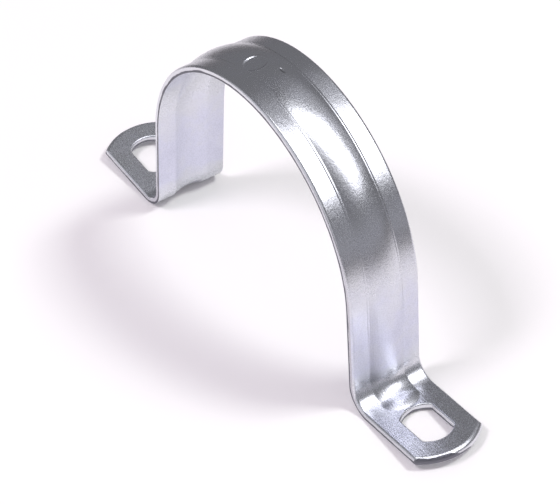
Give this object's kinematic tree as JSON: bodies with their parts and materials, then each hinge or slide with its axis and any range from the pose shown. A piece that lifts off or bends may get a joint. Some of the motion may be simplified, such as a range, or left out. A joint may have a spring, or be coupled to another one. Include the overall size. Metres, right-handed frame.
{
  "type": "two-hole conduit strap",
  "caption": "Beaded steel two-hole strap that holds a 3 inch conduit against a wall or ceiling, with a slotted foot each side.",
  "frame": {"origin": "on the mounting surface under the middle of the arch, where the bottoms of the two bends touch it", "axes": "+X along the strap towards one foot, +Y along the conduit, +Z away from the mounting surface towards the crown"},
  "size_m": [0.1586, 0.0222, 0.0774],
  "materials": {
    "zinc_plated_steel": "bright zinc plating, slightly clouded on the legs"
  },
  "bodies": {
    "root": {"strap": "zinc_plated_steel"}
  },
  "joints": []
}
